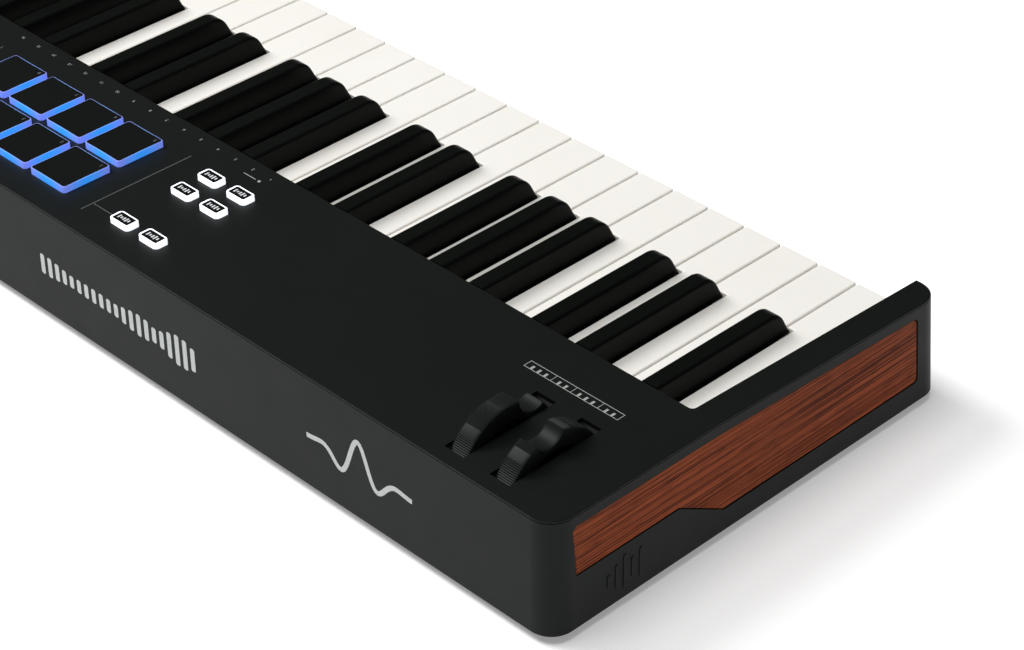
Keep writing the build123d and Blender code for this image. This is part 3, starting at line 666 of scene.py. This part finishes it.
def button_mark(mark, style):
    """Draw one plain symbol on a button's face."""
    if style == "bars":
        for i, height in enumerate((1.8, 3.0, 2.3, 1.5, 2.7)):
            mark.bar((i - 2) * 1.75 * MM, 0.0, 0.9 * MM, height * MM)
    elif style == "play":
        mark.polygon([(-1.2 * MM, -1.4 * MM), (1.5 * MM, 0.0), (-1.2 * MM, 1.4 * MM)])
    elif style == "stop":
        mark.bar(0.0, 0.0, 2.4 * MM, 2.4 * MM)
    elif style == "record":
        mark.disc(0.0, 0.0, 1.4 * MM)
    elif style == "loop":
        mark.frame(0.0, 0.0, 5.0 * MM, 2.4 * MM, 0.5 * MM)
    elif style == "skip":
        mark.polygon([(-1.6 * MM, -1.3 * MM), (0.8 * MM, 0.0), (-1.6 * MM, 1.3 * MM)])
        mark.bar(1.4 * MM, 0.0, 0.6 * MM, 2.6 * MM)
    elif style == "back":
        mark.polygon([(1.6 * MM, -1.3 * MM), (1.6 * MM, 1.3 * MM), (-0.8 * MM, 0.0)])
        mark.bar(-1.4 * MM, 0.0, 0.6 * MM, 2.6 * MM)
    else:
        mark.bar(-0.8 * MM, 0.0, 4.6 * MM, 0.8 * MM)
        mark.disc(3.0 * MM, 0.0, 0.7 * MM)


def lit_button(name, low, high, body, replaced, style):
    """Lit rubber button with a black printed face and a small symbol."""
    centre = (low + high) / 2
    half = (high - low) / 2
    outline = rounded_outline(half.x, half.y, BUTTON_CORNER, 6, 6)
    face_outline = rounded_outline(half.x - 1.25 * MM, half.y - 0.95 * MM, 0.9 * MM, 6, 6)
    rings, _ = cap_rings(outline, centre, low.z, high.z, 0.4 * MM)
    bands = [0] * (len(rings) - 1) + [0, 1, 1, 1]
    for z, shrink in ((high.z, 0.0), (high.z - 0.08 * MM, 0.08 * MM), (high.z - 0.01 * MM, 0.2 * MM)):
        scaled = [point * (1 - shrink / point.length) for point, _ in face_outline]
        rings.append([Vector((centre.x + point.x, centre.y + point.y, z)) for point in scaled])
    button = loft(name, rings, bands, ["button_rubber", "pad_face"], [share for _, share in outline])
    if replaced:
        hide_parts(*replaced)
    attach(button, body)
    mark = Print((centre.x, centre.y, high.z - 0.01 * MM), (1, 0, 0), (0, 1, 0))
    button_mark(mark, style)
    mark.piece(f"{name}_mark", "face_ink", body, "button_rubber")


def islands(node):
    """Boxes of a CAD node's separate solids, from the lowest X and Y up."""
    graph = bmesh.new()
    graph.from_mesh(NODES[node].data)
    bmesh.ops.remove_doubles(graph, verts=graph.verts, dist=1e-6)
    seen, boxes = set(), []
    for start in graph.verts:
        if start in seen:
            continue
        stack, members = [start], []
        seen.add(start)
        while stack:
            vertex = stack.pop()
            members.append(vertex.co)
            for edge in vertex.link_edges:
                other = edge.other_vert(vertex)
                if other not in seen:
                    seen.add(other)
                    stack.append(other)
        low = Vector([min(co[i] for co in members) for i in range(3)])
        high = Vector([max(co[i] for co in members) for i in range(3)])
        boxes.append((low, high))
    graph.free()
    return sorted(boxes, key=lambda box: (round(box[0].y, 4), round(box[0].x, 4)))


def button_group(node, styles):
    """Lit buttons for a CAD node that holds several of them."""
    for i, (low, high) in enumerate(islands(node)):
        lit_button(f"{node}_cap_{i + 1}", low, high, node, [node] if i == 0 else [], styles[i])


# ---------------------------------------------------------------- thumb wheels
WHEEL_RIBS = {
    "mod_wheel": ((35.0, 64.0), (74.0, 181.0)),
    "pitch_wheel": ((15.0, 24.5), (35.0, 181.0)),
}
RIB = 0.34 * MM
WHEEL_HALF_WIDTH = 5.4 * MM
DIP_REACH = 32.5 * MM           # from the axle to the middle of the finger dip's circle
DIP_RADIUS = 9.3 * MM


def rib_height(node, angle):
    """Height of the rim's fine ribs at an angle in degrees from the finger dip."""
    away = min(abs(angle), 360 - abs(angle))
    if any(first < away < last for first, last in WHEEL_RIBS[node]):
        return (0.5 + 0.5 * cos(pi * away)) * RIB
    return RIB / 2


def thumb_wheel(node, dip_degrees):
    """Thumb wheel with a ribbed rim, a round finger dip and a dished web."""
    low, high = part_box(node)
    centre = (low + high) / 2
    radius = (high.y - low.y) / 2
    axle_z = low.z + radius
    half = WHEEL_HALF_WIDTH

    def rim(angle):
        """Rim radius at an angle in degrees from the dip."""
        a = radians(angle)
        swing = DIP_REACH * sin(a)
        plain = radius - RIB + rib_height(node, angle)
        if abs(swing) < DIP_RADIUS and cos(a) > 0:
            inner = DIP_REACH * cos(a) - sqrt(DIP_RADIUS ** 2 - swing ** 2)
            return min(plain, inner)
        return plain

    edge = [(half, 1.1), (half - 0.25 * MM, 0.5), (half - 0.8 * MM, 0.12), (half - 1.8 * MM, 0.0)]
    web = [(half, 20.5), (half - 0.3 * MM, 20.0), (half - 2.8 * MM, 19.4), (half - 3.0 * MM, 18.8)]
    web += [(half - 3.0 * MM, 7.6), (half - 2.8 * MM, 7.1), (half - 0.2 * MM, 6.8), (half, 6.4)]
    web += [(half, 3.0), (8.4 * MM, 3.0)]
    angles = [step * 0.5 for step in range(720)]

    def ring(x, reach_at):
        """Points around the axle at x, reach_at giving the radius at each angle from the dip."""
        made = []
        for angle in angles:
            a = radians(angle + dip_degrees)
            reach = reach_at(angle)
            made.append(Vector((centre.x + x, centre.y + reach * sin(a), axle_z + reach * cos(a))))
        return made

    rings = [ring(-x, lambda angle, r=radial: r * MM) for x, radial in reversed(web)]
    rings += [ring(-x, lambda angle, c=cut: rim(angle) - c * MM) for x, cut in edge]
    rings += [ring(x, lambda angle, c=cut: rim(angle) - c * MM) for x, cut in reversed(edge)]
    rings += [ring(x, lambda angle, r=radial: r * MM) for x, radial in web]
    wheel = loft(f"{node}_rim", rings, [0] * len(rings), ["wheel_plastic"], smooth=28.0)
    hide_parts(node)
    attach(wheel, node)


# ---------------------------------------------------------------- knobs, encoder and faders
def turned_cap(name, centre, profile, flutes, depth):
    """Turned cap from (radius, z, flute share) steps, with flutes around its side."""
    steps = flutes * 6
    rings = []
    for radius, z, share in profile:
        ring = []
        for i in range(steps):
            angle = 2 * pi * i / steps
            reach = radius - depth * share * (0.5 - 0.5 * cos(flutes * angle))
            ring.append(Vector((centre.x + reach * cos(angle), centre.y + reach * sin(angle), z)))
        rings.append(ring)
    return loft(name, rings, [0] * len(rings), ["knob_plastic"], smooth=35.0)


def knob(number):
    """Fluted knob over a plain skirt, with a white pointer."""
    node = f"knob_{number}"
    low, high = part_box(node)
    centre = (low + high) / 2
    skirt = (high.x - low.x) / 2
    base = PANEL_TOP + 0.8 * MM
    top = high.z
    profile = [
        (3.0 * MM, low.z, 0.0), (3.0 * MM, base, 0.0),
        (skirt - 0.3 * MM, base, 0.0), (skirt, base + 0.3 * MM, 0.0), (skirt, base + 1.8 * MM, 0.0),
        (skirt - 0.7 * MM, base + 2.4 * MM, 0.4), (skirt - 0.8 * MM, base + 3.2 * MM, 1.0),
        (skirt - 1.2 * MM, top - 1.4 * MM, 1.0), (skirt - 1.5 * MM, top - 0.5 * MM, 0.5),
        (skirt - 2.1 * MM, top, 0.0), (skirt - 2.6 * MM, top, 0.0), (skirt - 2.8 * MM, top - 0.35 * MM, 0.0),
    ]
    cap = turned_cap(f"{node}_cap", centre, profile, 18, 0.55 * MM)
    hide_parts(node)
    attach(cap, node)
    mark = Print((centre.x, centre.y, top - 0.35 * MM), (1, 0, 0), (0, 1, 0), 0.3 * MM)
    mark.bar(0.0, skirt - 4.9 * MM, 0.9 * MM, 3.8 * MM, 0.3 * MM)
    mark.piece(f"{node}_pointer", "face_ink", node, "knob_plastic")


def encoder():
    """Wide push encoder with fine flutes and a dished top."""
    low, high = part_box("encoder_knob")
    skirt = (high.x - low.x) / 2
    profile = [
        (3.05 * MM, low.z + 10.0 * MM, 0.0), (3.05 * MM, low.z, 0.0),
        (skirt - 0.6 * MM, low.z, 0.0), (skirt, low.z + 0.6 * MM, 0.3), (skirt, low.z + 1.4 * MM, 1.0),
        (skirt - 0.4 * MM, high.z - 2.0 * MM, 1.0), (skirt - 0.8 * MM, high.z - 1.0 * MM, 0.6),
        (skirt - 1.6 * MM, high.z - 0.1 * MM, 0.0), (skirt - 2.2 * MM, high.z, 0.0),
        (skirt - 3.6 * MM, high.z - 0.2 * MM, 0.0), (skirt - 8.0 * MM, high.z - 0.7 * MM, 0.0),
    ]
    cap = turned_cap("encoder_knob_cap", (low + high) / 2, profile, 36, 0.4 * MM)
    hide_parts("encoder_knob")
    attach(cap, "encoder_knob")


def fader_section(share, centre, half, high_z):
    """Cross-section of a fader cap at a share of its length: dished in the middle, with fine ridges."""
    y = centre.y + half.y * (2 * share - 1)
    across = abs(2 * share - 1)
    dip = 1.9 * MM * max(0.0, 1 - (across / 0.62) ** 2)
    ridge = 0.12 * MM * cos(2 * pi * 9 * share) if across < 0.6 else 0.0
    top = high_z - dip + ridge - 0.9 * MM * max(0.0, (across - 0.8) / 0.2) ** 2
    pinch = 0.35 * MM if across == 1.0 else 0.0
    foot = PANEL_TOP + 1.0 * MM + pinch
    wide = half.x - pinch
    taper = half.x - 1.1 * MM
    left, right = centre.x - taper, centre.x + taper
    return [
        Vector((centre.x - wide, y, foot)), Vector((centre.x + wide, y, foot)),
        Vector((right + 0.25 * MM, y, top - 0.7 * MM)), Vector((right - 0.25 * MM, y, top)),
        Vector((left + 0.25 * MM, y, top)), Vector((left - 0.25 * MM, y, top - 0.7 * MM)),
    ]


def fader(number, low, high):
    """Fader cap on its steel lever, with a white line across the dish."""
    centre = (low + high) / 2
    half = (high - low) / 2
    rows = 28
    rings = [fader_section(step / rows, centre, half, high.z) for step in range(rows + 1)]
    cap = loft(f"fader_cap_{number}", rings, [0] * len(rings), ["fader_plastic"], smooth=40.0)
    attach(cap, "fader_caps")
    if number == 1:
        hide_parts("fader_caps")
    stem = [(sx * 0.6 * MM, sy * 2.0 * MM) for sx, sy in ((-1, -1), (1, -1), (1, 1), (-1, 1))]
    levels = (low.z, low.z + 0.4 * MM, PANEL_TOP + 1.3 * MM)
    stem_rings = [[Vector((centre.x + x, centre.y + y, z)) for x, y in stem] for z in levels]
    lever = loft(f"fader_lever_{number}", stem_rings, [0] * 3, ["steel"])
    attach(lever, "fader_caps")
    line = Print((centre.x, centre.y, high.z - 1.8 * MM), (1, 0, 0), (0, 1, 0), 0.12 * MM)
    line.bar(0.0, 0.0, 2 * half.x - 2.6 * MM, 0.7 * MM)
    line.piece(f"fader_line_{number}", "face_ink", "fader_caps", "fader_plastic")


# ---------------------------------------------------------------- display
def display_light():
    """Level bars and a line shining through the display window."""
    low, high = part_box("display_window")
    wide, tall = high.x - low.x, high.y - low.y
    screen = Print((low.x, low.y, high.z), (1, 0, 0), (0, 1, 0), 0.02 * MM)
    for i in range(18):
        level = (0.18 + 0.42 * abs(sin(i * 0.71)) * (0.5 + 0.5 * cos(i * 0.33))) * tall
        screen.bar(wide * 0.1 + i * wide * 0.047, tall * 0.2 + level / 2, wide * 0.026, level)
    screen.bar(wide * 0.5, tall * 0.88, wide * 0.84, 0.5 * MM)
    screen.piece("display_bars", "screen_light", "case", "screen_lens")


# ---------------------------------------------------------------- prints on the panel and the rear wall
NUMBER_PITCH = 13.52 * MM
NUMBER_ROW = 147.2 * MM
FIRST_NUMBER = 290.2 * MM
PICTOGRAM = (62.0 * MM, 167.0 * MM, 58.0 * MM, 5.2 * MM)       # centre, width and height
SEPARATORS = (335.5 * MM, 493.0 * MM, 636.0 * MM, 750.0 * MM)


def number_row(panel):
    """Numbers 1 to 16 along the keys, with a dot and a dash beside the first."""
    for number in range(1, 17):
        panel.digits(str(number), FIRST_NUMBER + (number - 1) * NUMBER_PITCH, NUMBER_ROW, 1.9 * MM)
    panel.bar(FIRST_NUMBER + 10.0 * MM, NUMBER_ROW + 5.2 * MM, 9.0 * MM, 0.5 * MM)
    panel.bar(FIRST_NUMBER + 3.0 * MM, NUMBER_ROW + 5.2 * MM, 1.6 * MM, 1.6 * MM, 0.3 * MM)


def keyboard_pictogram(panel):
    """Small drawing of two octaves of keys beside the wheels."""
    u, v, width, height = PICTOGRAM
    panel.frame(u, v, width, height, 0.35 * MM)
    for i in range(1, 14):
        joint = u - width / 2 + i * width / 14
        if i % 7 in (0, 3):
            panel.bar(joint, v, 0.3 * MM, height - 0.7 * MM)
        else:
            panel.bar(joint, v + 0.9 * MM, 1.3 * MM, 2.6 * MM)


def panel_print():
    """Pale print on the panel."""
    panel = Print((LEFT, KEY_FRONT, PANEL_TOP), (1, 0, 0), (0, 1, 0))
    number_row(panel)
    keyboard_pictogram(panel)
    panel.piece("panel_print", "panel_ink", "case", "panel_metal")


def panel_lines():
    """Dim lines between the groups of controls, and the faders' scales."""
    lines = Print((LEFT, KEY_FRONT, PANEL_TOP), (1, 0, 0), (0, 1, 0))
    for u in SEPARATORS:
        lines.bar(u, 195.0 * MM, 0.55 * MM, 69.0 * MM)
    lines.bar(SEPARATORS[0] - 7.7 * MM, 222.0 * MM, 14.8 * MM, 0.5 * MM)
    lines.bar(SEPARATORS[2] + 7.7 * MM, 222.0 * MM, 14.8 * MM, 0.5 * MM)
    for number in range(1, 10):
        column = middle(f"knob_{number}").x - LEFT
        for step in range(7):
            length = 2.4 * MM if step in (0, 3, 6) else 1.4 * MM
            lines.bar(column + 6.0 * MM, (165.0 + 5.0 * step) * MM, length, 0.4 * MM)
    lines.piece("panel_lines", "line_ink", "case", "panel_metal")


def level_bars(wall, first, last, count):
    """Row of upright level bars with round ends."""
    for i in range(count):
        u = first + (last - first) * (i + 0.5) / count
        height = (7.0 + 11.0 * abs(sin(0.55 * i + 0.6)) * (0.55 + 0.45 * cos(0.23 * i))) * MM
        wall.bar(-u, 30.0 * MM, 3.2 * MM, height, 1.2 * MM)


def wave(wall, first, last):
    """Plain wave that swells in the middle."""
    points = []
    for i in range(97):
        share = i / 96
        swell = exp(-((share - 0.5) / 0.24) ** 2)
        height = (30.0 + 14.0 * swell * sin(2 * pi * 2.5 * share)) * MM
        points.append((-(first + (last - first) * share), height))
    wall.ribbon(points, 2.6 * MM)


def rear_wall_print():
    """Pale marks on the rear wall."""
    wall = Print((LEFT, REAR, CASE_LOW), (-1, 0, 0), (0, 0, 1), 0.05 * MM)
    level_bars(wall, 234.0 * MM, 356.0 * MM, 21)
    wave(wall, 86.0 * MM, 156.0 * MM)
    wall.piece("rear_wall_print", "wall_ink", "case", "case_plastic")


def end_emboss():
    """Low raised bars on the left end, under the inlay."""
    emboss = Print((LEFT, REAR, CASE_LOW), (0, -1, 0), (0, 0, 1), 0.3 * MM)
    for i, height in enumerate((7.0, 13.0, 19.0, 11.0, 16.0)):
        emboss.bar((35.0 + 5.0 * i) * MM, 15.0 * MM, 2.4 * MM, height * MM, 1.0 * MM)
    emboss.piece("end_emboss", "case_plastic", "case", "case_plastic")


# ---------------------------------------------------------------- stage, light and camera
CAMERA_PLACE = Vector((-1.2736, 0.7802, 0.8112))
CAMERA_TARGET = Vector((-0.4807, 0.0125, 0.040))
CAMERA_ROLL = radians(-0.68)
LENS = 100.3
SENSOR_WIDTH = 36.0
FLOOR_REACH = 9.0


def link(name, data):
    """Object that holds data, in the scene."""
    made = bpy.data.objects.new(name, data)
    bpy.context.scene.collection.objects.link(made)
    return made


def pale_floor():
    """Large plain floor, faintly lit from below as a photo table is."""
    mesh = bpy.data.meshes.new("floor")
    corners = [(x * FLOOR_REACH, y * FLOOR_REACH, 0.0) for x, y in ((-1, -1), (1, -1), (1, 1), (-1, 1))]
    mesh.from_pydata(corners, [], [(0, 1, 2, 3)])
    s = Shader("floor_paper")
    s.colour(s.ramp(s.noise(3.0), [(0.3, (0.93, 0.93, 0.93)), (0.7, (0.95, 0.95, 0.95))]))
    s.set(Roughness=0.9, Specular_IOR_Level=0.1, Emission_Color=(1.0, 1.0, 1.0, 1.0), Emission_Strength=0.27)
    mesh.materials.append(s.material)
    link("floor", mesh)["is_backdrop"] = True


def studio_air():
    """Faint even light from everywhere."""
    world = bpy.data.worlds.new("studio")
    world.use_nodes = True
    background = world.node_tree.nodes["Background"]
    background.inputs["Color"].default_value = (1.0, 1.0, 1.0, 1.0)
    background.inputs["Strength"].default_value = 0.08
    bpy.context.scene.world = world
    bpy.context.scene.view_settings.view_transform = "Standard"


def soft_light(name, place, target, size, power):
    """Large square softbox aimed at a point."""
    data = bpy.data.lights.new(name, "AREA")
    data.shape = "SQUARE"
    data.size = size
    data.energy = power
    light = link(name, data)
    light.location = place
    light.rotation_euler = (Vector(target) - Vector(place)).to_track_quat("-Z", "Y").to_euler()


def camera():
    """Camera behind the bass end, looking down along the keys."""
    data = bpy.data.cameras.new("camera")
    data.lens = LENS
    data.sensor_width = SENSOR_WIDTH
    data.clip_end = 50.0
    made = link("camera", data)
    aim = (CAMERA_TARGET - CAMERA_PLACE).to_track_quat("-Z", "Y").to_matrix().to_4x4()
    made.matrix_world = Matrix.Translation(CAMERA_PLACE) @ aim @ Matrix.Rotation(CAMERA_ROLL, 4, "Z")
    bpy.context.scene.camera = made


def plain(box):
    """A box as plain lists of numbers."""
    return [[float(x) for x in corner] for corner in box]


# ---------------------------------------------------------------- everything in order
for row in frame["record"]["subparts"]:
    shown = NODES[row["node"]]
    shown.data.materials.clear()
    shown.data.materials.append(MATERIALS[row["material_slot"]])

for number in range(1, 9):
    pad(number)
for node in COMMAND_BUTTONS:
    lit_button(f"{node}_cap", *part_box(node), node, [node], "bars")
button_group("transport_buttons", TRANSPORT_STYLES)
button_group("screen_buttons", SCREEN_STYLES)
thumb_wheel("mod_wheel", dip_degrees=-29.0)
thumb_wheel("pitch_wheel", dip_degrees=5.0)
for number in range(1, 10):
    knob(number)
encoder()
for number, (low, high) in enumerate(islands("fader_caps"), start=1):
    fader(number, low, high)
display_light()
panel_print()
panel_lines()
rear_wall_print()
end_emboss()

pale_floor()
studio_air()
soft_light("key", place=(1.5, 0.75, 2.3), target=(-0.2, 0.0, 0.0), size=1.6, power=74.0)
soft_light("top", place=(-0.4, 0.45, 2.4), target=(-0.3, 0.0, 0.0), size=1.6, power=34.0)
camera()

{"cad": plain(cad_box), "visual": plain(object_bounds())}
